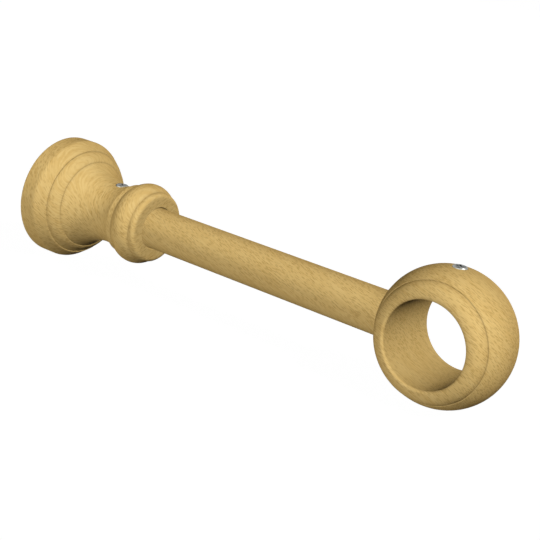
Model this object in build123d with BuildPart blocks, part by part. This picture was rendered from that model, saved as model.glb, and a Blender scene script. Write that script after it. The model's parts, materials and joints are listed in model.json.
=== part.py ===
from build123d import *
import os
from math import cos, radians, sin, sqrt, tan

# Curtain pole bracket of turned beech: a wall rose, a dowel arm and a pole ring, held by two lock screws.
# The origin is the centre of the wall face. +Y points into the wall, the arm runs out along -Y,
# the pole lies along X and +Z is up. Sizes are in millimetres, angles in degrees.

# Pole, and where the bracket holds it
pole_diameter = 28.0
pole_play = 1.5  # how much wider the ring's bore is than the pole
projection = 180.0  # wall face to the pole's centre

# Dowel arm
arm_diameter = 16.0
arm_end_chamfer = 0.8
socket_clearance = 0.25  # gap round the arm in the rose's socket
glue_film = 0.05  # gap round the arm in the ring's mortise

# Wall rose, from the wall outwards: rim, shoulder, band, cove, fillet, bead and nose
rose_diameter = 48.3
rim_width = 5.8
rim_edge_round = 0.6
shoulder_round = 6.4
shoulder_slope = 31.5
shoulder_run = 2.9
shoulder_step = 0.5
band_width = 4.0
band_drop = 3.2
band_crown = 0.46
band_step = 0.3
cove_length = 14.3
neck_wall = 3.6
neck_length = 7.3
fillet_width = 2.4
collar_rise = 1.95
bead_width = 9.2
bead_rise = 2.2
nose_land = 0.4
nose_round = 2.2
edge_break = 0.15  # softened outer corners of the steps
socket_mouth_chamfer = 0.3

# Fixing to the wall, under the arm's end
socket_floor = 12.0
wall_hole_diameter = 5.0
wall_sink_diameter = 10.0
wall_sink_angle = 90.0
wall_head_room = 3.0  # socket floor to the arm's end

# Pole ring
ring_width = 30.4
ring_wall = 9.3  # bore to the barrel's crest
bore_edge_round = 0.9
quirk_width = 21.4  # between the two fine lines round the barrel
quirk_depth = 0.25
barrel_drop = 3.4
mortise_wall = 3.3  # wood left between the arm's end and the bore

# Lock screws: pan heads with a cross recess
head_diameter = 5.1
head_height = 2.1
head_round = 0.7
head_proud = 0.35
head_clearance = 0.15
thread_diameter = 2.9
thread_clearance = 0.05
recess_span = 2.9
recess_slot = 0.8
recess_depth = 1.3
recess_taper = 12.0
recess_turn = 45.0
point_slope = 0.5  # how fast a screw's point narrows
lock_offset = 0.6  # from the neck's narrowest point outwards to the rose's screw
arm_bite = 5.0  # how far the rose's screw goes into the arm
bite_room = 0.6  # pilot hole below that screw's point
arm_point_length = 1.6
pole_point_length = 0.4
pole_setback = 0.4  # how far the ring's screw stays out of the bore
grip_travel = 1.4  # how far that screw can still be driven to grip the pole

# Radii and distances that follow from the sizes above
arm_radius = arm_diameter / 2
socket_radius = arm_radius + socket_clearance
bore_radius = (pole_diameter + pole_play) / 2
ring_radius = bore_radius + ring_wall
mortise_floor = bore_radius + mortise_wall

rose_radius = rose_diameter / 2
shoulder_angle = radians(shoulder_slope)
band_start = rim_width + shoulder_round * sin(shoulder_angle) + shoulder_run
shoulder_foot = rose_radius - shoulder_round * (1 - cos(shoulder_angle)) - shoulder_run * tan(shoulder_angle)
band_top = shoulder_foot - shoulder_step
band_foot = band_top - band_drop
cove_start = band_start + band_width
cove_top = band_foot - band_step
neck_radius = socket_radius + neck_wall
neck_distance = cove_start + cove_length
cove_fall = cove_top - neck_radius
cove_round = (cove_length**2 + cove_fall**2) / (2 * cove_fall)
fillet_start = neck_distance + neck_length
cove_end = neck_radius + cove_round - sqrt(cove_round**2 - neck_length**2)
collar_radius = neck_radius + collar_rise
bead_start = fillet_start + fillet_width
bead_end = bead_start + bead_width
nose_start = bead_end + nose_land
rose_length = nose_start + nose_round

head_radius = head_diameter / 2
thread_radius = thread_diameter / 2
thread_hole_radius = thread_radius + thread_clearance
head_hole_radius = head_radius + head_clearance
head_sunk = head_height - head_proud

# Planes and axes that the pieces share
pole_plane = Plane.XZ.offset(projection)
pole_axis = Axis(pole_plane.origin, pole_plane.x_dir)
rose_front = Plane(origin=(0, -rose_length, 0), z_dir=(0, -1, 0))
socket_bottom = Plane(origin=(0, -socket_floor, 0), z_dir=(0, -1, 0))
arm_root = Plane.XZ.offset(socket_floor + wall_head_room)
ring_back = Plane(origin=(0, ring_radius - projection, 0), z_dir=(0, 1, 0))
neck_top = Plane(origin=(0, -neck_distance - lock_offset, neck_radius))
arm_top = Plane(origin=(0, -neck_distance - lock_offset, arm_radius))
ring_top = Plane(origin=(0, -projection, ring_radius))


def turned(distance, radius):
    """A point of the rose's profile, by its distance from the wall and its radius."""
    return (radius, -distance)


def lock_screw(seat, shank_length, point_length):
    """A pan-head screw. The head stands on the seat plane, and the shank goes down from it."""
    half_section = Plane(origin=seat.origin, x_dir=(1, 0, 0), z_dir=(0, -1, 0))
    with BuildPart() as screw:
        with BuildSketch(half_section) as screw_section:
            with BuildLine() as screw_outline:
                rim = Polyline(
                    (0, -shank_length),
                    (thread_radius - point_length * point_slope, -shank_length),
                    (thread_radius, point_length - shank_length),
                    (thread_radius, 0),
                    (head_radius, 0),
                    (head_radius, head_height - head_round),
                )
                crown = JernArc(rim @ 1, rim % 1, head_round, 90)
                Polyline(crown @ 1, (0, head_height), (0, -shank_length))
            make_face()
        revolve(axis=Axis(seat.origin, seat.z_dir))
        with BuildSketch(seat.offset(head_height)) as recess:
            Rectangle(recess_span, recess_slot, rotation=recess_turn)
            Rectangle(recess_slot, recess_span, rotation=recess_turn)
        extrude(amount=-recess_depth, taper=recess_taper, mode=Mode.SUBTRACT)
    return screw.part


# Wall rose: one turning, with the arm's socket, the wall screw's hole and the lock screw's hole
with BuildPart() as wall_rose:
    with BuildSketch(Plane.XY) as rose_profile:
        with BuildLine() as rose_outline:
            rim = Polyline(turned(0, 0), turned(0, rose_radius), turned(rim_width, rose_radius))
            shoulder = JernArc(rim @ 1, rim % 1, shoulder_round, -shoulder_slope)
            slope = Polyline(
                shoulder @ 1,
                turned(band_start, shoulder_foot),
                turned(band_start, band_top),
            )
            band = SagittaArc(slope @ 1, turned(cove_start, band_foot), band_crown)
            lip = Line(band @ 1, turned(cove_start, cove_top))
            cove = ThreePointArc(
                lip @ 1,
                turned(neck_distance, neck_radius),
                turned(fillet_start, cove_end),
            )
            fillet_band = Polyline(
                cove @ 1,
                turned(fillet_start, collar_radius),
                turned(bead_start, collar_radius),
            )
            bead = ThreePointArc(
                fillet_band @ 1,
                turned((bead_start + bead_end) / 2, collar_radius + bead_rise),
                turned(bead_end, collar_radius),
            )
            land = Line(bead @ 1, turned(nose_start, collar_radius))
            nose = JernArc(land @ 1, land % 1, nose_round, -90)
            Polyline(nose @ 1, turned(rose_length, 0), turned(0, 0))
        make_face()
        for corner in (
            turned(band_start, shoulder_foot),
            turned(cove_start, band_foot),
            turned(fillet_start, collar_radius),
        ):
            fillet(rose_profile.vertices().sort_by_distance(corner)[0], edge_break)
    revolve(axis=Axis.Y)
    fillet(wall_rose.edges().filter_by(GeomType.CIRCLE).sort_by(Axis.Y)[-1], rim_edge_round)
    with Locations(rose_front):
        Hole(socket_radius, rose_length - socket_floor)
    mouth = wall_rose.edges().filter_by(GeomType.CIRCLE).group_by(Axis.Y)[0].sort_by(SortBy.RADIUS)[0]
    chamfer(mouth, socket_mouth_chamfer)
    with Locations(socket_bottom):
        CounterSinkHole(
            wall_hole_diameter / 2,
            wall_sink_diameter / 2,
            depth=socket_floor,
            counter_sink_angle=wall_sink_angle,
        )
    with Locations(neck_top):
        CounterBoreHole(thread_hole_radius, head_hole_radius, head_sunk, depth=neck_radius)

# Arm: a dowel from the socket to the ring's mortise, with a pilot hole for the rose's lock screw
with BuildPart() as arm:
    with BuildSketch(arm_root) as arm_section:
        Circle(arm_radius)
    extrude(amount=projection - mortise_floor - socket_floor - wall_head_room)
    chamfer(arm.edges().filter_by(GeomType.CIRCLE), arm_end_chamfer)
    with Locations(arm_top):
        Hole(thread_hole_radius, arm_bite + bite_room)

# Pole ring: one turning about the pole's axis, with the arm's mortise behind and a screw hole on top
with BuildPart() as pole_ring:
    with BuildSketch(pole_plane) as ring_profile:
        with BuildLine() as ring_outline:
            bore = Line((0, bore_radius), (ring_width / 2 - bore_edge_round, bore_radius))
            edge = JernArc(bore @ 1, bore % 1, bore_edge_round, 90)
            quirk_top = (quirk_width / 2, ring_radius - barrel_drop)
            quirk_foot = (quirk_width / 2, ring_radius - barrel_drop - quirk_depth)
            face_bead = TangentArc(edge @ 1, quirk_foot, tangent=edge % 1)
            quirk = Line(face_bead @ 1, quirk_top)
            TangentArc((0, ring_radius), quirk @ 1, tangent=(1, 0))
            mirror(about=Plane.YZ)
        make_face()
    revolve(axis=pole_axis)
    with Locations(ring_back):
        Hole(arm_radius + glue_film, ring_radius - mortise_floor)
    with Locations(ring_top):
        CounterBoreHole(
            thread_hole_radius,
            head_hole_radius,
            head_sunk + grip_travel,
            depth=ring_radius,
        )

# Lock screws: one holds the arm in its socket, the other holds the pole in the ring
arm_lock_screw = lock_screw(
    neck_top.offset(-head_sunk),
    neck_radius - head_sunk - arm_radius + arm_bite,
    arm_point_length,
)
pole_lock_screw = lock_screw(
    ring_top.offset(-head_sunk),
    ring_wall - head_sunk - pole_setback,
    pole_point_length,
)

# One file for each piece
pieces = {
    "wall_rose": wall_rose.part,
    "arm": arm.part,
    "pole_ring": pole_ring.part,
    "arm_lock_screw": arm_lock_screw,
    "pole_lock_screw": pole_lock_screw,
}
os.makedirs("parts", exist_ok=True)
for name, piece in pieces.items():
    piece.label = name
    export_step(piece, f"parts/{name}.step")
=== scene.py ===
"""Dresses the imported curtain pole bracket: three beech turnings, two lock screws and a plain stage."""

import json
from math import cos, pi, radians, sin, sqrt, tan

import bmesh
import bpy
from bpy.props import FloatProperty, FloatVectorProperty, PointerProperty
from bpy.types import Operator, Panel, PropertyGroup
from mathutils import Matrix, Vector


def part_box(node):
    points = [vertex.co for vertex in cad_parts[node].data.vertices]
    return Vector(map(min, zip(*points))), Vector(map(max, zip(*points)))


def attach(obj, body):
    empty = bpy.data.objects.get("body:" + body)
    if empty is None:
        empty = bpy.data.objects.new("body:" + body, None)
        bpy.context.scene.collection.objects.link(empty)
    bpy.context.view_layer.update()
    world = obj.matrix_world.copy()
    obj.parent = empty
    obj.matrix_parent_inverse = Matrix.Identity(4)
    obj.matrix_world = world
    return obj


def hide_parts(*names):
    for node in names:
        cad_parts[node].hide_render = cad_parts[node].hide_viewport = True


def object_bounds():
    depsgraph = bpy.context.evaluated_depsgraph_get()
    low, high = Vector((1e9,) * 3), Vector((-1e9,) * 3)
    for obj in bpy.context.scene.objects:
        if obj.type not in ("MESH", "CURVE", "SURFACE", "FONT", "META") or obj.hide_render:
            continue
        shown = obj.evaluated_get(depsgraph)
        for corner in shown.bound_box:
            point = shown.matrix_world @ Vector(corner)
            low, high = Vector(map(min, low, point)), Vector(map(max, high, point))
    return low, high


bl_info = {
    "name": "Curtain Pole Bracket",
    "version": (1, 0, 0),
    "blender": (4, 5, 0),
    "location": "View3D > Sidebar > Bracket",
    "description": "A turned beech bracket for a curtain pole, with its lock screws and a plain stage",
    "category": "Add Mesh",
}

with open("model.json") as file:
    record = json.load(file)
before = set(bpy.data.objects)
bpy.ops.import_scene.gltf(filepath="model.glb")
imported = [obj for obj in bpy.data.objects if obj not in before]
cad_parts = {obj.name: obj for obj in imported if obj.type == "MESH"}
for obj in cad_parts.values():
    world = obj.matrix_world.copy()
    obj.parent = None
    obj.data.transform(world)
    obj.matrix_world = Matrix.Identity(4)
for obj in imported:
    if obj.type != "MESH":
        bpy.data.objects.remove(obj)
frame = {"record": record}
cad_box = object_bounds()

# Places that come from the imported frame: X lies along the pole, -Y runs out from the wall and Z is up
mounts = {mount["name"]: mount for mount in frame["record"]["mounts"]}
pole_centre = Vector(mounts["pole_bore"]["pos_m"])
pole_axis = Vector((1, 0, 0))
arm_axis = Vector((0, 1, 0))
wall_centre = Vector((0, 0, 0))
arm_low, arm_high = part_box("arm")

MM = 0.001
TURN_STEPS = 192  # faces round a turning
SCREW_STEPS = 64  # faces round a screw or a hole
FLOOR_STEPS = 96  # edges round the floor
FACE_LENGTH = 0.45 * MM  # of the faces along a turned profile
LONGEST_EDGE = FACE_LENGTH * 1.2  # of a profile, past which an edge is cut in two
FEWEST_STEPS = 3  # in an arc of a profile
CORNER_STEPS = 4  # in a softened corner of a profile
MERGE = 0.0005 * MM  # distance within which vertices become one
SHARP_ANGLE = radians(33)  # between faces, past which an edge isn't shaded smooth
FLOOR_RADIUS = 4.0
FLOOR_GAP = 0.2 * MM  # from the bracket's lowest point down to the floor
PAINTED_LIGHT = "painted_light"  # 0 to 1: painted shade in a turning's fine lines, or a painted highlight on a screw's rim


def linear(hex_colour):
    """An sRGB hex value as linear red, green and blue."""
    channels = [int(hex_colour[i : i + 2], 16) / 255 for i in (0, 2, 4)]
    return tuple(c / 12.92 if c <= 0.04045 else ((c + 0.055) / 1.055) ** 2.4 for c in channels)


def length(name, millimetres, description):
    """A length property, given in millimetres and kept in metres."""
    return FloatProperty(
        name=name,
        description=description,
        default=millimetres * MM,
        min=0,
        precision=5,
        unit="LENGTH",
        subtype="DISTANCE",
    )


def colour(name, hex_colour, description):
    """A colour property, given as an sRGB hex value."""
    return FloatVectorProperty(
        name=name,
        description=description,
        default=linear(hex_colour),
        min=0,
        max=1,
        size=3,
        subtype="COLOR",
    )


def angle(name, degrees, description):
    """An angle property, given in degrees."""
    return FloatProperty(name=name, description=description, default=radians(degrees), subtype="ANGLE")


def direction(name, towards, description):
    """A direction property."""
    return FloatVectorProperty(
        name=name,
        description=description,
        default=towards,
        size=3,
        subtype="DIRECTION",
    )


def share(name, default, description):
    """A property from 0 to 1."""
    return FloatProperty(name=name, description=description, default=default, min=0, max=1, subtype="FACTOR")


def level(name, default, description):
    """A lamp's level, where 1 makes a white sheet that faces it white."""
    return FloatProperty(name=name, description=description, default=default, min=0)


# Settings


class WallRoseSizes(PropertyGroup):
    """Sizes of the turned base, from the wall outwards."""

    radius: length("Radius", 24.15, "Radius of the rim against the wall")
    rim_width: length("Rim width", 6.7, "Straight edge of the rim")
    rim_edge_round: length("Rim edge round", 0.6, "Rounding of the rim's back edge")
    shoulder_round: length("Shoulder round", 3.0, "Radius of the curve from the rim to the shoulder")
    shoulder_slope: angle("Shoulder slope", 31.5, "How far the shoulder turns in from the rim")
    shoulder_run: length("Shoulder run", 3.77, "Straight part of the shoulder, along the arm")
    shoulder_step: length("Shoulder step", 0.5, "Step from the shoulder down to the band")
    band_width: length("Band width", 4.0, "Width of the crowned band, along the arm")
    band_drop: length("Band drop", 3.2, "How much the band falls towards the neck")
    band_crown: length("Band crown", 0.46, "How far the band bulges")
    band_step: length("Band step", 0.3, "Step from the band down to the cove")
    cove_length: length("Cove length", 14.3, "From the band to the neck's narrowest point")
    neck_radius: length("Neck radius", 11.85, "Radius at the neck's narrowest point")
    neck_length: length("Neck length", 7.3, "From the neck's narrowest point to the collar")
    fillet_width: length("Fillet width", 2.4, "Flat band behind the collar's bead")
    collar_radius: length("Collar radius", 13.8, "Radius of that flat band")
    bead_width: length("Bead width", 9.2, "Width of the collar's bead")
    bead_rise: length("Bead rise", 2.2, "How far the bead stands out")
    nose_land: length("Nose land", 1.0, "Flat ring in front of the bead")
    nose_round: length("Nose round", 1.6, "Rounding of the front edge")
    edge_break: length("Edge break", 0.22, "Softening of the steps' corners")
    socket_radius: length("Socket radius", 8.25, "Radius of the arm's socket")
    socket_mouth: length("Socket mouth", 0.3, "Chamfer round the socket")
    socket_floor: length("Socket floor", 12.0, "From the wall to the socket's floor")
    wall_hole_radius: length("Wall hole radius", 2.5, "Hole for the wall screw")
    wall_sink_radius: length("Wall sink radius", 5.0, "Countersink for the wall screw's head")
    # Painted shade: the fine lines between the mouldings are coloured darker, standing in for the shade in
    # their creases
    painted_line_shade: share("Line shade", 0.15, "How dark the fine lines between the mouldings are")
    line_reach: length("Line reach", 0.75, "How far to the side their darkness goes")
    ray_width: length("Ray width", 0.22, "Thickness of the wood's rays and fibres")
    fibres_run: direction("Fibres run", (0.25, -0.65, -0.7), "The way that the wood's fibres run")
    layers_face: direction("Layers face", (-0.3, -0.75, 0.6), "The way that the wood's growth layers face")


class ArmSizes(PropertyGroup):
    """Sizes of the dowel arm."""

    radius: length("Radius", 8.0, "Radius of the dowel")
    end_chamfer: length("End chamfer", 0.8, "Chamfer at both ends")
    pilot_depth: length("Pilot depth", 5.6, "Depth of the lock screw's pilot hole")
    ray_width: length("Ray width", 0.17, "Thickness of the wood's rays and fibres")
    fibres_run: direction("Fibres run", (0, -0.95, -0.35), "The way that the wood's fibres run")
    layers_face: direction("Layers face", (0.55, -0.3, 0.8), "The way that the wood's growth layers face")


class PoleRingSizes(PropertyGroup):
    """Sizes of the turned ring that holds the pole."""

    bore_radius: length("Bore radius", mounts["pole_bore"]["dims"]["r_mm"], "Radius of the pole's hole")
    width: length("Width", 30.4, "Width along the pole")
    wall: length("Wall", 9.3, "From the bore to the barrel's crest")
    bore_edge_round: length("Bore edge round", 0.9, "Rounding of the bore's edges")
    face_crown: length("Face crown", 1.1, "How far the faces bulge between the bore and the fine lines")
    quirk_width: length("Quirk width", 21.4, "Between the two fine lines round the barrel")
    quirk_depth: length("Quirk depth", 0.25, "Step at each fine line")
    barrel_drop: length("Barrel drop", 3.4, "How much the barrel falls from its crest to the fine lines")
    edge_break: length("Edge break", 0.1, "Softening of the fine lines' corners")
    mortise_radius: length("Mortise radius", 8.05, "Radius of the hole for the arm's end")
    head_room: length("Head room", 3.15, "Depth of the wide part of the screw's hole")
    # Painted shade: the two fine lines are coloured darker, standing in for the shade in their creases
    painted_line_shade: share("Line shade", 0.26, "How dark the two fine lines are")
    line_reach: length("Line reach", 0.5, "How far to the side their darkness goes")
    ray_width: length("Ray width", 0.17, "Thickness of the wood's rays and fibres")
    fibres_run: direction("Fibres run", (0, -0.95, -0.35), "The way that the wood's fibres run")
    layers_face: direction("Layers face", (0.55, -0.3, 0.8), "The way that the wood's growth layers face")


class LockScrewSizes(PropertyGroup):
    """Sizes of the two pan-head screws."""

    head_radius: length("Head radius", 2.55, "Radius of the head")
    head_height: length("Head height", 2.1, "Height of the head")
    head_round: length("Head round", 0.7, "Rounding of the head's top edge")
    head_hole_radius: length("Head hole radius", 2.7, "Radius of the hole that the head sits in")
    # How far the painted highlight on the head's rim spreads
    painted_highlight_reach: length("Rubbed reach", 0.8, "How far the rubbed rim reaches over the head")
    shank_radius: length("Shank radius", 1.45, "Radius of the shank")
    shank_hole_radius: length("Shank hole radius", 1.5, "Radius of the hole that the shank sits in")
    point_radius: length("Point radius", 0.7, "Radius at the shank's blunt end")
    point_length: length("Point length", 0.8, "Length of the shank's narrowing end")
    recess_span: length("Recess span", 2.9, "Width over the cross recess")
    recess_slot: length("Recess slot", 0.8, "Width of the cross recess's slots")
    recess_depth: length("Recess depth", 1.3, "Depth of the cross recess")
    recess_taper: angle("Recess taper", 12, "How fast the recess narrows")
    recess_turn: angle("Recess turn", 45, "How the cross is turned")


class BeechLook(PropertyGroup):
    """Colours and sheen of the lacquered beech."""

    base: colour("Base", "E4C37E", "Colour between the flecks")
    pale: colour("Pale", "F1D492", "Colour of the pale fibres")
    warm: colour("Warm", "DAB56D", "Colour of the darker growth layers")
    fleck: colour("Fleck", "AE8947", "Colour of the short dark flecks")
    # Painted shade: the colour laid along the fine lines between the mouldings, where shade falls in the
    # creases
    line: colour("Line", "6B5026", "Colour in the fine lines between the mouldings")
    lacquer: colour("Lacquer", "F6F3ED", "Tint of the lacquer")
    lacquer_roughness: share("Lacquer roughness", 0.65, "Roughness of the satin lacquer")
    roughness: share("Roughness", 0.5, "Roughness of the wood under the lacquer")


class SteelLook(PropertyGroup):
    """Colours and sheen of the zinc-plated steel."""

    bright: colour("Bright", "8E8F8C", "Colour of the plating")
    dull: colour("Dull", "3E403E", "Colour of the plating where it is dull")
    # Painted highlight: a pale grey laid round each screw head's rounded rim
    painted_rim_highlight: colour("Rubbed", "BFBFB6", "Colour of the rims, where the plating is rubbed bright")
    bright_roughness: share("Bright roughness", 0.36, "Roughness of the plating")
    dull_roughness: share("Dull roughness", 0.56, "Roughness of the plating where it is dull")


class StageSettings(PropertyGroup):
    """Camera, lamps and floor."""

    camera_azimuth: angle("Camera azimuth", -55.43, "How far the camera is turned round the bracket")
    camera_elevation: angle("Camera elevation", 16.993, "How far the camera looks down")
    camera_roll: angle("Camera roll", 9.162, "How far the camera leans to the side")
    camera_distance: length("Camera distance", 357.6, "From the pole's centre to the camera, along its view")
    camera_left: length("Camera left", 56.99, "How far the camera is moved to its left of the pole's centre")
    camera_up: length("Camera up", 21.67, "How far the camera is moved up from the pole's centre")
    lens: FloatProperty(name="Lens", description="Focal length", default=73.31, min=1, unit="CAMERA")
    key_level: level("Key level", 0.12, "How brightly the key lamp lights a white sheet")
    fill_level: level("Fill level", 0.76, "How brightly the fill lamp lights a white sheet")
    side_level: level("Side level", 0.61, "How brightly the side lamp lights a white sheet")
    back_level: level("Back level", 0.65, "How brightly the back lamp lights a white sheet")
    back_fill_level: level("Back fill level", 0.45, "How brightly the back fill lamp lights a white sheet")
    lamp_spread: angle("Lamp spread", 10, "How wide the lamps look from the bracket")
    backdrop: colour("Backdrop", "FFFFFF", "Colour behind the bracket")
    paper: share("Paper", 0.25, "How much of the lamps' light the floor sends to the camera")
    paper_glow: share("Paper glow", 0.86, "How bright the floor looks without the lamps")


class BracketSettings(PropertyGroup):
    """Everything that a user would change."""

    rose: PointerProperty(type=WallRoseSizes)
    arm: PointerProperty(type=ArmSizes)
    ring: PointerProperty(type=PoleRingSizes)
    screw: PointerProperty(type=LockScrewSizes)
    beech: PointerProperty(type=BeechLook)
    steel: PointerProperty(type=SteelLook)
    stage: PointerProperty(type=StageSettings)


# Mesh work


def line_to(bm, start, point):
    """Runs a profile straight on to a point, and returns the vertex there."""
    end = bm.verts.new(point)
    bm.edges.new((start, end))
    return end


def arc_to(bm, start, point, centre):
    """Spins a profile's last vertex about a centre until it is at a point, and returns the vertex there."""
    first, last = start.co - centre, Vector(point) - centre
    sweep = first.angle(last)
    steps = max(FEWEST_STEPS, round(sweep * first.length / FACE_LENGTH))
    spun = bmesh.ops.spin(
        bm, geom=[start], cent=centre, axis=first.cross(last).normalized(), angle=sweep, steps=steps
    )
    return next(part for part in spun["geom_last"] if isinstance(part, bmesh.types.BMVert))


def crown_to(bm, start, point, crown, outwards):
    """Runs a profile on to a point along an arc that stands out from the straight line by a crown."""
    chord = point - start.co
    out = (outwards - outwards.project(chord)).normalized()
    radius = (chord.length_squared / 4 + crown**2) / (2 * crown)
    return arc_to(bm, start, point, start.co + chord / 2 + out * (crown - radius))


def new_profile():
    """An empty bmesh whose vertices know how much painted shade or painted highlight they take."""
    bm = bmesh.new()
    bm.verts.layers.float.new(PAINTED_LIGHT)
    return bm


def mark_near(bm, points, strength, reach):
    """Marks the vertices of a profile that are close to some points, for painted shade or a painted
    highlight.
    """
    layer = bm.verts.layers.float[PAINTED_LIGHT]
    for vertex in bm.verts:
        nearest = min((vertex.co - point).length for point in points)
        vertex[layer] = strength * max(0, 1 - nearest / reach)


def soften(bm, corners, width):
    """Rounds some corners of a profile."""
    bmesh.ops.bevel(
        bm,
        geom=corners,
        offset=width,
        offset_type="OFFSET",
        affect="VERTICES",
        segments=CORNER_STEPS,
        profile=0.5,
        material=-1,
    )


def turn(bm, centre, axis, steps, points=(), strength=1.0, reach=MM):
    """Cuts a profile into short edges, marks it near some points, spins it round and closes the seam."""
    while long_edges := [edge for edge in bm.edges if edge.calc_length() > LONGEST_EDGE]:
        bmesh.ops.subdivide_edges(bm, edges=long_edges, cuts=1)
    if points:
        mark_near(bm, points, strength, reach)
    bmesh.ops.spin(
        bm,
        geom=bm.verts[:] + bm.edges[:],
        cent=centre,
        axis=axis,
        angle=2 * pi,
        steps=steps,
        use_merge=True,
    )
    bmesh.ops.remove_doubles(bm, verts=bm.verts[:], dist=MERGE)
    bmesh.ops.recalc_face_normals(bm, faces=bm.faces[:])


def link_mesh(name, bm):
    """Puts a finished bmesh in the scene under a name."""
    mesh = bpy.data.meshes.new(name)
    bm.to_mesh(mesh)
    bm.free()
    made = bpy.data.objects.new(name, mesh)
    bpy.context.scene.collection.objects.link(made)
    return made


def pin(name, start, end, radius):
    """A round cutter from one point to another."""
    along = end - start
    bm = bmesh.new()
    bmesh.ops.create_cone(
        bm,
        cap_ends=True,
        segments=SCREW_STEPS,
        radius1=radius,
        radius2=radius,
        depth=along.length,
        matrix=Matrix.Translation((start + end) / 2) @ along.to_track_quat("Z", "Y").to_matrix().to_4x4(),
    )
    return link_mesh(name, bm)


def cut_out(piece, cutters):
    """Cuts other shapes out of a piece and removes them."""
    for cutter in cutters:
        modifier = piece.modifiers.new(cutter.name, "BOOLEAN")
        modifier.operation = "DIFFERENCE"
        modifier.solver = "EXACT"
        modifier.object = cutter
    bpy.context.view_layer.update()
    plain = piece.data
    done = bpy.data.meshes.new_from_object(piece.evaluated_get(bpy.context.evaluated_depsgraph_get()))
    piece.modifiers.clear()
    piece.data = done
    done.name = piece.name
    bpy.data.meshes.remove(plain)
    for cutter in cutters:
        bpy.data.meshes.remove(cutter.data)


def dress(piece, material, node):
    """Gives a piece its finish and puts it in the place of its CAD node."""
    piece.data.materials.clear()
    piece.data.materials.append(material)
    piece.data.shade_smooth()
    piece.data.set_sharp_from_angle(angle=SHARP_ANGLE)
    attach(piece, "root")
    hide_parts(node)


# Materials

# Most values of a noise lie between these
NOISE_LOW = 0.3
NOISE_HIGH = 0.7

# The colour sockets of a Mix node, by number because its other sockets have the same names
MIX_FIRST = 6
MIX_SECOND = 7
MIX_RESULT = 2


def add_node(tree, kind, inputs=None, **settings):
    """Adds a node, sets it, and links or sets its inputs."""
    node = tree.nodes.new(kind)
    for name, value in settings.items():
        setattr(node, name, value)
    for socket, value in (inputs or {}).items():
        if isinstance(value, bpy.types.NodeSocket):
            tree.links.new(value, node.inputs[socket])
        else:
            node.inputs[socket].default_value = value
    return node


def new_material(name):
    """An empty material with its output node."""
    material = bpy.data.materials.new(name)
    material.use_nodes = True
    material.node_tree.nodes.clear()
    output = add_node(material.node_tree, "ShaderNodeOutputMaterial")
    return material, material.node_tree, output


def rgba(rgb):
    """A colour with full opacity, as colour sockets take it."""
    return (*rgb, 1.0)


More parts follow.
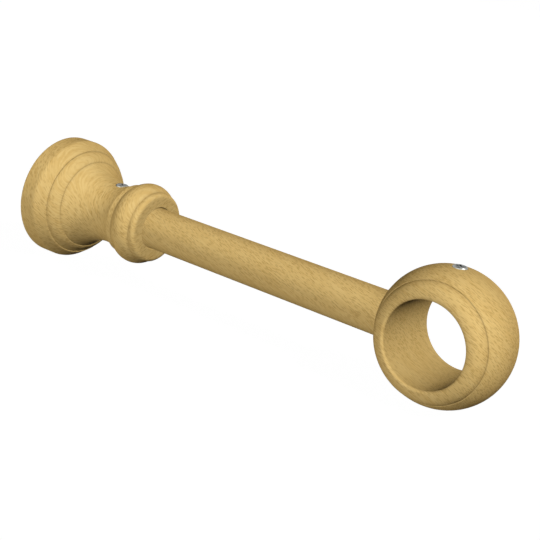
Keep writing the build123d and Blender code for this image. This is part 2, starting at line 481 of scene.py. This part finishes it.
def beech_material(look, blank, size):
    """Turned beech under a satin lacquer: pale fibres, faint growth layers and many short dark ray flecks.

    The lacquer has a faint warm tint and hardly reflects, and the fine lines of the turning get painted
    shade, a darker colour in their creases.
    """
    material, tree, output = new_material(f"satin_beech_{blank}")
    along = Vector(size.fibres_run).normalized()
    across = Vector(size.layers_face).cross(along).normalized()
    place = add_node(tree, "ShaderNodeTexCoord").outputs["Object"]
    # Millimetres along the fibres, across them in their growth layer and through the layers
    grain = add_node(
        tree,
        "ShaderNodeMapping",
        {
            "Vector": place,
            "Rotation": Matrix((along, across, along.cross(across))).to_euler(),
            "Scale": (1 / MM, 1 / MM, 1 / MM),
        },
    ).outputs["Vector"]
    # The layers wave by about half a millimetre over a centimetre
    wave_length = 10.0
    wave_swing = (0.8, 0.8, 1.0)
    wave = add_node(tree, "ShaderNodeTexNoise", {"Vector": grain, "Scale": 1 / wave_length, "Detail": 1.0})
    centred = add_node(
        tree, "ShaderNodeVectorMath", {0: wave.outputs["Color"], 1: (0.5, 0.5, 0.5)}, operation="SUBTRACT"
    )
    waving = add_node(
        tree, "ShaderNodeVectorMath", {0: centred.outputs["Vector"], 1: wave_swing}, operation="MULTIPLY"
    )
    layered = add_node(
        tree, "ShaderNodeVectorMath", {0: grain, 1: waving.outputs["Vector"]}, operation="ADD"
    ).outputs["Vector"]

    # Length, width and thickness of each pattern's cells in millimetres. Each ray is a short thin lens round
    # a point of its own. Single fibres are too fine to show, so they are drawn in streaks as thick as a ray
    ray = size.ray_width / MM
    patterns = {}
    for name, cell, kind, inputs, result in (
        ("fibre", (8.0, 5.0, ray), "ShaderNodeTexNoise", {"Detail": 1.0, "Roughness": 0.55}, "Fac"),
        ("layer", (60.0, 30.0, 2.6), "ShaderNodeTexNoise", {"Detail": 2.0, "Roughness": 0.55}, "Fac"),
        ("cloud", (30.0, 16.0, 12.0), "ShaderNodeTexNoise", {"Detail": 2.0, "Roughness": 0.55}, "Fac"),
        ("fleck", (2.4, 1.9, 2.0 * ray), "ShaderNodeTexVoronoi", {}, "Distance"),
    ):
        spot = add_node(
            tree,
            "ShaderNodeVectorMath",
            {0: layered, 1: tuple(1 / side for side in cell)},
            operation="MULTIPLY",
        ).outputs["Vector"]
        pattern = add_node(tree, kind, {"Vector": spot, "Scale": 1.0, **inputs})
        patterns[name] = pattern.outputs[result]

    # Where each pattern begins to show, where it shows fully, and how strongly it then tints the wood
    shares = {}
    for name, low, high, most in (
        ("fleck", 0.48, 0.24, 0.46),
        ("fibre", 0.36, 0.64, 0.62),
        ("layer", 0.42, 0.62, 0.20),
        ("cloud", 0.40, 0.62, 0.25),
    ):
        shares[name] = add_node(
            tree,
            "ShaderNodeMapRange",
            {"Value": patterns[name], "From Min": low, "From Max": high, "To Min": 0.0, "To Max": most},
            interpolation_type="SMOOTHSTEP",
        ).outputs["Result"]
    # Ray flecks show where the surface cuts across the growth layers, and fade where it lies flat in one
    fade_start = 0.65
    fade_end = 0.97
    flecks_left = 0.2
    outside = add_node(tree, "ShaderNodeNewGeometry").outputs["Normal"]
    flat = add_node(
        tree,
        "ShaderNodeVectorMath",
        {0: outside, 1: Vector(size.layers_face).normalized()},
        operation="DOT_PRODUCT",
    )
    facing = add_node(tree, "ShaderNodeMath", {0: flat.outputs["Value"]}, operation="ABSOLUTE")
    faded = add_node(
        tree,
        "ShaderNodeMapRange",
        {
            "Value": facing.outputs["Value"],
            "From Min": fade_start,
            "From Max": fade_end,
            "To Min": 1.0,
            "To Max": flecks_left,
        },
    )
    shares["fleck"] = add_node(
        tree, "ShaderNodeMath", {0: shares["fleck"], 1: faded.outputs["Result"]}, operation="MULTIPLY"
    ).outputs["Value"]
    # Painted shade along the fine lines of the turning, as strong as each vertex is marked
    shares["line"] = add_node(tree, "ShaderNodeAttribute", attribute_name=PAINTED_LIGHT).outputs["Fac"]

    wood = rgba(look.base)
    for name, tint in (
        ("cloud", look.warm),
        ("layer", look.warm),
        ("fibre", look.pale),
        ("fleck", look.fleck),
        ("line", look.line),
    ):
        wood = add_node(
            tree,
            "ShaderNodeMix",
            {"Factor": shares[name], MIX_FIRST: wood, MIX_SECOND: rgba(tint)},
            data_type="RGBA",
        ).outputs[MIX_RESULT]

    # Pale fibres are a little rougher and stand up, and the flecks lie lower
    rough_spread = 0.05
    grain_depth = 0.06 * MM
    rough = add_node(
        tree,
        "ShaderNodeMapRange",
        {
            "Value": patterns["fibre"],
            "From Min": NOISE_LOW,
            "From Max": NOISE_HIGH,
            "To Min": look.roughness - rough_spread,
            "To Max": look.roughness + rough_spread,
        },
    )
    relief = add_node(
        tree, "ShaderNodeMath", {0: patterns["fibre"], 1: shares["fleck"]}, operation="SUBTRACT"
    )
    bump = add_node(
        tree,
        "ShaderNodeBump",
        {"Height": relief.outputs["Value"], "Strength": 0.6, "Distance": grain_depth},
    )
    # The photo shows almost no gloss, so only the lacquer reflects, and faintly
    shader = add_node(
        tree,
        "ShaderNodeBsdfPrincipled",
        {
            "Base Color": wood,
            "Roughness": rough.outputs["Result"],
            "IOR": 1.5,
            "Specular IOR Level": 0.0,
            "Coat Weight": 1.0,
            "Coat Roughness": look.lacquer_roughness,
            "Coat IOR": 1.05,
            "Coat Tint": rgba(look.lacquer),
            "Normal": bump.outputs["Normal"],
        },
    )
    tree.links.new(shader.outputs["BSDF"], output.inputs["Surface"])
    return material


def steel_material(look):
    """Zinc plating on steel: a cool grey shine with small dull patches, a fine grit and a painted highlight
    round the rims.
    """
    patch_size = 0.9 * MM
    patch_start = 0.4
    patch_end = 0.6
    grit_size = 0.12 * MM
    grit_depth = 0.01 * MM
    material, tree, output = new_material("grey_zinc")
    place = add_node(tree, "ShaderNodeTexCoord").outputs["Object"]
    patches = add_node(
        tree, "ShaderNodeTexNoise", {"Vector": place, "Scale": 1 / patch_size, "Detail": 3.0}
    ).outputs["Fac"]
    grit = add_node(
        tree, "ShaderNodeTexNoise", {"Vector": place, "Scale": 1 / grit_size, "Detail": 2.0}
    ).outputs["Fac"]
    dulled = add_node(
        tree, "ShaderNodeMapRange", {"Value": patches, "From Min": patch_start, "From Max": patch_end}
    )
    tint = add_node(
        tree,
        "ShaderNodeMix",
        {"Factor": dulled.outputs["Result"], MIX_FIRST: rgba(look.bright), MIX_SECOND: rgba(look.dull)},
        data_type="RGBA",
    ).outputs[MIX_RESULT]
    # Painted highlight round the head's rounded rim, fading over the crown
    rim = add_node(tree, "ShaderNodeAttribute", attribute_name=PAINTED_LIGHT)
    tint = add_node(
        tree,
        "ShaderNodeMix",
        {"Factor": rim.outputs["Fac"], MIX_FIRST: tint, MIX_SECOND: rgba(look.painted_rim_highlight)},
        data_type="RGBA",
    ).outputs[MIX_RESULT]
    rough = add_node(
        tree,
        "ShaderNodeMapRange",
        {
            "Value": patches,
            "From Min": NOISE_LOW,
            "From Max": NOISE_HIGH,
            "To Min": look.bright_roughness,
            "To Max": look.dull_roughness,
        },
    )
    bump = add_node(tree, "ShaderNodeBump", {"Height": grit, "Strength": 0.15, "Distance": grit_depth})
    shader = add_node(
        tree,
        "ShaderNodeBsdfPrincipled",
        {
            "Base Color": tint,
            "Metallic": 1.0,
            "Roughness": rough.outputs["Result"],
            "Normal": bump.outputs["Normal"],
        },
    )
    tree.links.new(shader.outputs["BSDF"], output.inputs["Surface"])
    return material


# Pieces


class BRACKET_OT_wall_rose(Operator):
    """Turns the beech base: rim, shoulder, band, cove, collar bead and nose, with the arm's socket"""

    bl_idname = "bracket.wall_rose"
    bl_label = "Wall Rose"

    def execute(self, context):
        settings = context.scene.pole_bracket
        size, screw = settings.rose, settings.screw
        band_start = size.rim_width + size.shoulder_round * sin(size.shoulder_slope) + size.shoulder_run
        shoulder_foot = (
            size.radius
            - size.shoulder_round * (1 - cos(size.shoulder_slope))
            - size.shoulder_run * tan(size.shoulder_slope)
        )
        band_top = shoulder_foot - size.shoulder_step
        band_foot = band_top - size.band_drop
        cove_start = band_start + size.band_width
        cove_top = band_foot - size.band_step
        neck_distance = cove_start + size.cove_length
        cove_fall = cove_top - size.neck_radius
        cove_round = (size.cove_length**2 + cove_fall**2) / (2 * cove_fall)
        fillet_start = neck_distance + size.neck_length
        cove_end = size.neck_radius + cove_round - sqrt(cove_round**2 - size.neck_length**2)
        bead_start = fillet_start + size.fillet_width
        bead_end = bead_start + size.bead_width
        nose_start = bead_end + size.nose_land
        front = nose_start + size.nose_round

        def at(distance, radius):
            """A point of the profile, by its distance from the wall and its radius."""
            return Vector((radius, -distance, 0))

        outwards = Vector((1, 0, 0))
        bm = new_profile()
        first = bm.verts.new(at(0, size.wall_hole_radius))
        back_edge = line_to(bm, first, at(0, size.radius))
        last = line_to(bm, back_edge, at(size.rim_width, size.radius))
        shoulder_centre = at(size.rim_width, size.radius - size.shoulder_round)
        shoulder_end = shoulder_centre + size.shoulder_round * Vector(
            (cos(size.shoulder_slope), -sin(size.shoulder_slope), 0)
        )
        last = arc_to(bm, last, shoulder_end, shoulder_centre)
        shoulder_edge = line_to(bm, last, at(band_start, shoulder_foot))
        band_line = line_to(bm, shoulder_edge, at(band_start, band_top))
        band_edge = crown_to(bm, band_line, at(cove_start, band_foot), size.band_crown, outwards)
        cove_line = last = line_to(bm, band_edge, at(cove_start, cove_top))
        neck_centre = at(neck_distance, size.neck_radius + cove_round)
        fillet_line = last = arc_to(bm, last, at(fillet_start, cove_end), neck_centre)
        fillet_edge = line_to(bm, last, at(fillet_start, size.collar_radius))
        bead_line = line_to(bm, fillet_edge, at(bead_start, size.collar_radius))
        nose_line = crown_to(bm, bead_line, at(bead_end, size.collar_radius), size.bead_rise, outwards)
        last = line_to(bm, nose_line, at(nose_start, size.collar_radius))
        nose_radius = size.collar_radius - size.nose_round
        last = arc_to(bm, last, at(front, nose_radius), at(nose_start, nose_radius))
        last = line_to(bm, last, at(front, size.socket_radius + size.socket_mouth))
        last = line_to(bm, last, at(front - size.socket_mouth, size.socket_radius))
        last = line_to(bm, last, at(size.socket_floor, size.socket_radius))
        last = line_to(bm, last, at(size.socket_floor, size.wall_sink_radius))
        sink_end = size.socket_floor - (size.wall_sink_radius - size.wall_hole_radius)
        last = line_to(bm, last, at(sink_end, size.wall_hole_radius))
        bm.edges.new((last, first))
        # The fine lines between the mouldings get painted shade, strongest at their creases
        lines = [line.co.copy() for line in (band_line, cove_line, fillet_line, bead_line, nose_line)]
        soften(bm, [shoulder_edge, band_edge, fillet_edge], size.edge_break)
        soften(bm, [back_edge], size.rim_edge_round)
        turn(bm, wall_centre, arm_axis, TURN_STEPS, lines, size.painted_line_shade, size.line_reach)

        piece = link_mesh("beech_wall_rose", bm)
        screw_low, screw_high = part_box("arm_lock_screw")
        seat = Vector((0, (screw_low.y + screw_high.y) / 2, screw_high.z - screw.head_height))
        above = seat + Vector((0, 0, size.radius))
        below = Vector((0, seat.y, 0))
        cut_out(
            piece,
            [
                pin("screw_head_hole", seat, above, screw.head_hole_radius),
                pin("screw_hole", below, above, screw.shank_hole_radius),
            ],
        )
        dress(piece, beech_material(settings.beech, "rose", size), "wall_rose")
        return {"FINISHED"}


class BRACKET_OT_arm(Operator):
    """Turns the beech dowel between the base and the ring"""

    bl_idname = "bracket.arm"
    bl_label = "Arm"

    def execute(self, context):
        settings = context.scene.pole_bracket
        size, screw = settings.arm, settings.screw
        root, end = Vector((0, arm_high.y, 0)), Vector((0, arm_low.y, 0))
        out = Vector((0, -1, 0))
        side = Vector((1, 0, 0))
        bm = bmesh.new()
        first = bm.verts.new(root)
        last = line_to(bm, first, root + side * (size.radius - size.end_chamfer))
        last = line_to(bm, last, root + side * size.radius + out * size.end_chamfer)
        last = line_to(bm, last, end + side * size.radius - out * size.end_chamfer)
        last = line_to(bm, last, end + side * (size.radius - size.end_chamfer))
        line_to(bm, last, end)
        turn(bm, root, arm_axis, TURN_STEPS // 2)

        piece = link_mesh("beech_arm", bm)
        screw_low, screw_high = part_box("arm_lock_screw")
        above = Vector((0, (screw_low.y + screw_high.y) / 2, 2 * size.radius))
        below = Vector((0, above.y, size.radius - size.pilot_depth))
        cut_out(piece, [pin("pilot_hole", below, above, screw.shank_hole_radius)])
        dress(piece, beech_material(settings.beech, "arm", size), "arm")
        return {"FINISHED"}


class BRACKET_OT_pole_ring(Operator):
    """Turns the beech ring: a barrel between two fine lines, rounded faces and the pole's bore"""

    bl_idname = "bracket.pole_ring"
    bl_label = "Pole Ring"

    def execute(self, context):
        settings = context.scene.pole_bracket
        size, screw = settings.ring, settings.screw
        ring_radius = size.bore_radius + size.wall
        face = size.width / 2
        quirk = size.quirk_width / 2
        quirk_top = ring_radius - size.barrel_drop
        quirk_foot = quirk_top - size.quirk_depth

        def at(along, radius):
            """A point of the profile, by its distance along the pole and its radius."""
            return pole_centre + Vector((along, 0, radius))

        bm = new_profile()
        bore_end = face - size.bore_edge_round
        last = line_to(bm, bm.verts.new(at(0, size.bore_radius)), at(bore_end, size.bore_radius))
        edge_radius = size.bore_radius + size.bore_edge_round
        last = arc_to(bm, last, at(face, edge_radius), at(bore_end, edge_radius))
        quirk_line = crown_to(bm, last, at(quirk, quirk_foot), size.face_crown, Vector((1, 0, 0)))
        quirk_edge = line_to(bm, quirk_line, at(quirk, quirk_top))
        barrel_round = (quirk**2 + size.barrel_drop**2) / (2 * size.barrel_drop)
        arc_to(bm, quirk_edge, at(0, ring_radius), at(0, ring_radius - barrel_round))
        soften(bm, [quirk_edge], size.edge_break)
        bmesh.ops.mirror(
            bm,
            geom=bm.verts[:] + bm.edges[:],
            matrix=Matrix.Translation(pole_centre),
            merge_dist=MERGE,
            axis="X",
        )
        # The two fine lines get painted shade, strongest at their creases
        lines = [at(quirk, quirk_foot), at(-quirk, quirk_foot)]
        turn(bm, pole_centre, pole_axis, TURN_STEPS, lines, size.painted_line_shade, size.line_reach)

        piece = link_mesh("beech_pole_ring", bm)
        arm_end = Vector((0, arm_low.y, 0))
        behind = pole_centre + arm_axis * 2 * ring_radius
        shoulder = pole_centre + Vector((0, 0, ring_radius - size.head_room))
        above = pole_centre + Vector((0, 0, 2 * ring_radius))
        cut_out(
            piece,
            [
                pin("mortise", arm_end, behind, size.mortise_radius),
                pin("screw_head_hole", shoulder, above, screw.head_hole_radius),
                pin("screw_hole", pole_centre, above, screw.shank_hole_radius),
            ],
        )
        dress(piece, beech_material(settings.beech, "ring", size), "pole_ring")
        return {"FINISHED"}


class BRACKET_OT_lock_screws(Operator):
    """Turns the two pan-head lock screws, with a cross recess and a short blunt point"""

    bl_idname = "bracket.lock_screws"
    bl_label = "Lock Screws"

    def execute(self, context):
        settings = context.scene.pole_bracket
        size = settings.screw
        steel = steel_material(settings.steel)
        up = Vector((0, 0, 1))
        for node in ("arm_lock_screw", "pole_lock_screw"):
            low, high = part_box(node)
            middle = Vector(((low.x + high.x) / 2, (low.y + high.y) / 2, 0))

            def at(radius, height):
                """A point of the profile, by its radius and its height."""
                return middle + Vector((radius, 0, height))

            seat = high.z - size.head_height
            bm = new_profile()
            last = line_to(bm, bm.verts.new(at(0, low.z)), at(size.point_radius, low.z))
            last = line_to(bm, last, at(size.shank_radius, low.z + size.point_length))
            last = line_to(bm, last, at(size.shank_radius, seat))
            last = line_to(bm, last, at(size.head_radius, seat))
            last = line_to(bm, last, at(size.head_radius, high.z - size.head_round))
            crown = size.head_radius - size.head_round
            last = arc_to(bm, last, at(crown, high.z), at(crown, high.z - size.head_round))
            line_to(bm, last, at(0, high.z))
            # The head's rounded rim gets a painted highlight, fading over the crown
            rim = at(size.head_radius, high.z - size.head_round)
            turn(bm, middle, up, SCREW_STEPS, [rim], reach=size.painted_highlight_reach)
            piece = link_mesh(f"steel_{node}", bm)

            slot = (size.recess_span, size.recess_slot, 2 * size.recess_depth)
            draft = 2 * size.recess_depth * tan(size.recess_taper)
            cutters = []
            for turned in (size.recess_turn, size.recess_turn + pi / 2):
                cutter = bmesh.new()
                cube = bmesh.ops.create_cube(cutter, size=1)
                bmesh.ops.scale(cutter, verts=cube["verts"], vec=slot)
                foot = [vertex for vertex in cutter.verts if vertex.co.z < 0]
                bmesh.ops.scale(
                    cutter,
                    verts=foot,
                    vec=(1 - draft / size.recess_span, 1 - draft / size.recess_slot, 1),
                )
                bmesh.ops.rotate(cutter, verts=cutter.verts[:], matrix=Matrix.Rotation(turned, 3, "Z"))
                bmesh.ops.translate(cutter, verts=cutter.verts[:], vec=middle + up * high.z)
                cutters.append(link_mesh("recess_slot", cutter))
            cut_out(piece, cutters)
            dress(piece, steel, node)
        return {"FINISHED"}


class BRACKET_OT_stage(Operator):
    """Sets the floor, the lamps, the white surroundings and the camera"""

    bl_idname = "bracket.stage"
    bl_label = "Stage"

    def execute(self, context):
        scene = context.scene
        stage = scene.pole_bracket.stage
        scene.view_settings.view_transform = "Standard"
        low, high = cad_box
        middle = (low + high) / 2

        # Camera
        azimuth, elevation, roll = stage.camera_azimuth, stage.camera_elevation, stage.camera_roll
        back = Vector((sin(azimuth) * cos(elevation), -cos(azimuth) * cos(elevation), sin(elevation)))
        sideways = Vector((cos(azimuth), sin(azimuth), 0))
        upright = back.cross(sideways)
        right = sideways * cos(roll) + upright * sin(roll)
        up = upright * cos(roll) - sideways * sin(roll)
        eye = pole_centre + back * stage.camera_distance - right * stage.camera_left + up * stage.camera_up
        lens = bpy.data.cameras.new("camera")
        lens.lens = stage.lens
        lens.sensor_width = 36
        lens.clip_start, lens.clip_end = 0.01, 50
        camera = bpy.data.objects.new("camera", lens)
        camera.matrix_world = Matrix((right, up, back)).transposed().to_4x4()
        camera.location = eye
        scene.collection.objects.link(camera)
        scene.camera = camera

        # Lamps, each with the direction that it shines from. They give direct light only, so the wood keeps
        # its colour in the bore, and those without a shadow reach in there. The two behind shine from below
        # towards the camera, so they light only what it doesn't see, and they leave no highlights
        front = Vector((0, -0.7, 0.7))
        left = Vector((-1, 0, 0))
        behind = Vector((0.8, 0.55, -0.3))
        for name, towards, strength, shadow in (
            ("key_lamp", front, stage.key_level, True),
            ("fill_lamp", front, stage.fill_level, False),
            ("side_lamp", left, stage.side_level, False),
            ("back_lamp", behind, stage.back_level, True),
            ("back_fill_lamp", behind, stage.back_fill_level, False),
        ):
            light = bpy.data.lights.new(name, "SUN")
            light.energy = strength * pi
            light.angle = stage.lamp_spread
            light.use_shadow = shadow
            light.cycles.max_bounces = 0
            lamp = bpy.data.objects.new(name, light)
            lamp.visible_glossy = towards is not behind
            lamp.location = middle + towards
            lamp.rotation_euler = towards.to_track_quat("Z", "Y").to_euler()
            scene.collection.objects.link(lamp)

        # White surroundings for the camera and for reflections, which throw no other light on the bracket
        world = bpy.data.worlds.new("surroundings")
        scene.world = world
        world.use_nodes = True
        tree = world.node_tree
        tree.nodes.clear()
        white = add_node(tree, "ShaderNodeBackground", {"Color": rgba(stage.backdrop), "Strength": 1.0})
        shown = add_node(tree, "ShaderNodeMixShader", {"Fac": self.seen(tree), 2: white.outputs[0]})
        add_node(tree, "ShaderNodeOutputWorld", {"Surface": shown.outputs[0]})

        # Pale floor, which shows the camera white paper with the bracket's faint shadow
        bm = bmesh.new()
        bmesh.ops.create_circle(bm, cap_ends=True, segments=FLOOR_STEPS, radius=FLOOR_RADIUS)
        bmesh.ops.translate(bm, verts=bm.verts[:], vec=(middle.x, middle.y, low.z - FLOOR_GAP))
        floor = link_mesh("floor", bm)
        material, tree, output = new_material("white_paper")
        paper = add_node(tree, "ShaderNodeBsdfDiffuse", {"Color": rgba((stage.paper,) * 3)})
        glow = add_node(
            tree, "ShaderNodeEmission", {"Color": rgba(stage.backdrop), "Strength": stage.paper_glow}
        )
        lit = add_node(tree, "ShaderNodeAddShader", {0: paper.outputs[0], 1: glow.outputs[0]})
        shown = add_node(tree, "ShaderNodeMixShader", {"Fac": self.seen(tree), 2: lit.outputs[0]})
        tree.links.new(shown.outputs[0], output.inputs["Surface"])
        floor.data.materials.append(material)
        floor.visible_shadow = False
        return {"FINISHED"}

    def seen(self, tree):
        """1 for camera rays, reflections and rays through glass, 0 for the rest."""
        path = add_node(tree, "ShaderNodeLightPath")
        either = add_node(
            tree,
            "ShaderNodeMath",
            {0: path.outputs["Is Camera Ray"], 1: path.outputs["Is Glossy Ray"]},
            operation="MAXIMUM",
        )
        return add_node(
            tree,
            "ShaderNodeMath",
            {0: either.outputs["Value"], 1: path.outputs["Is Transmission Ray"]},
            operation="MAXIMUM",
        ).outputs["Value"]


class BRACKET_PT_panel(Panel):
    """Lists the bracket's pieces and its stage"""

    bl_idname = "BRACKET_PT_panel"
    bl_label = "Curtain Pole Bracket"
    bl_space_type = "VIEW_3D"
    bl_region_type = "UI"
    bl_category = "Bracket"

    def draw(self, context):
        for operator in operators:
            self.layout.operator(operator.bl_idname)


operators = (
    BRACKET_OT_wall_rose,
    BRACKET_OT_arm,
    BRACKET_OT_pole_ring,
    BRACKET_OT_lock_screws,
    BRACKET_OT_stage,
)
classes = (
    WallRoseSizes,
    ArmSizes,
    PoleRingSizes,
    LockScrewSizes,
    BeechLook,
    SteelLook,
    StageSettings,
    BracketSettings,
    *operators,
    BRACKET_PT_panel,
)


def register():
    for cls in classes:
        bpy.utils.register_class(cls)
    bpy.types.Scene.pole_bracket = PointerProperty(type=BracketSettings)


def unregister():
    del bpy.types.Scene.pole_bracket
    for cls in reversed(classes):
        bpy.utils.unregister_class(cls)


def main():
    register()
    bpy.ops.bracket.wall_rose()
    bpy.ops.bracket.arm()
    bpy.ops.bracket.pole_ring()
    bpy.ops.bracket.lock_screws()
    bpy.ops.bracket.stage()


if __name__ == "__main__":
    main()
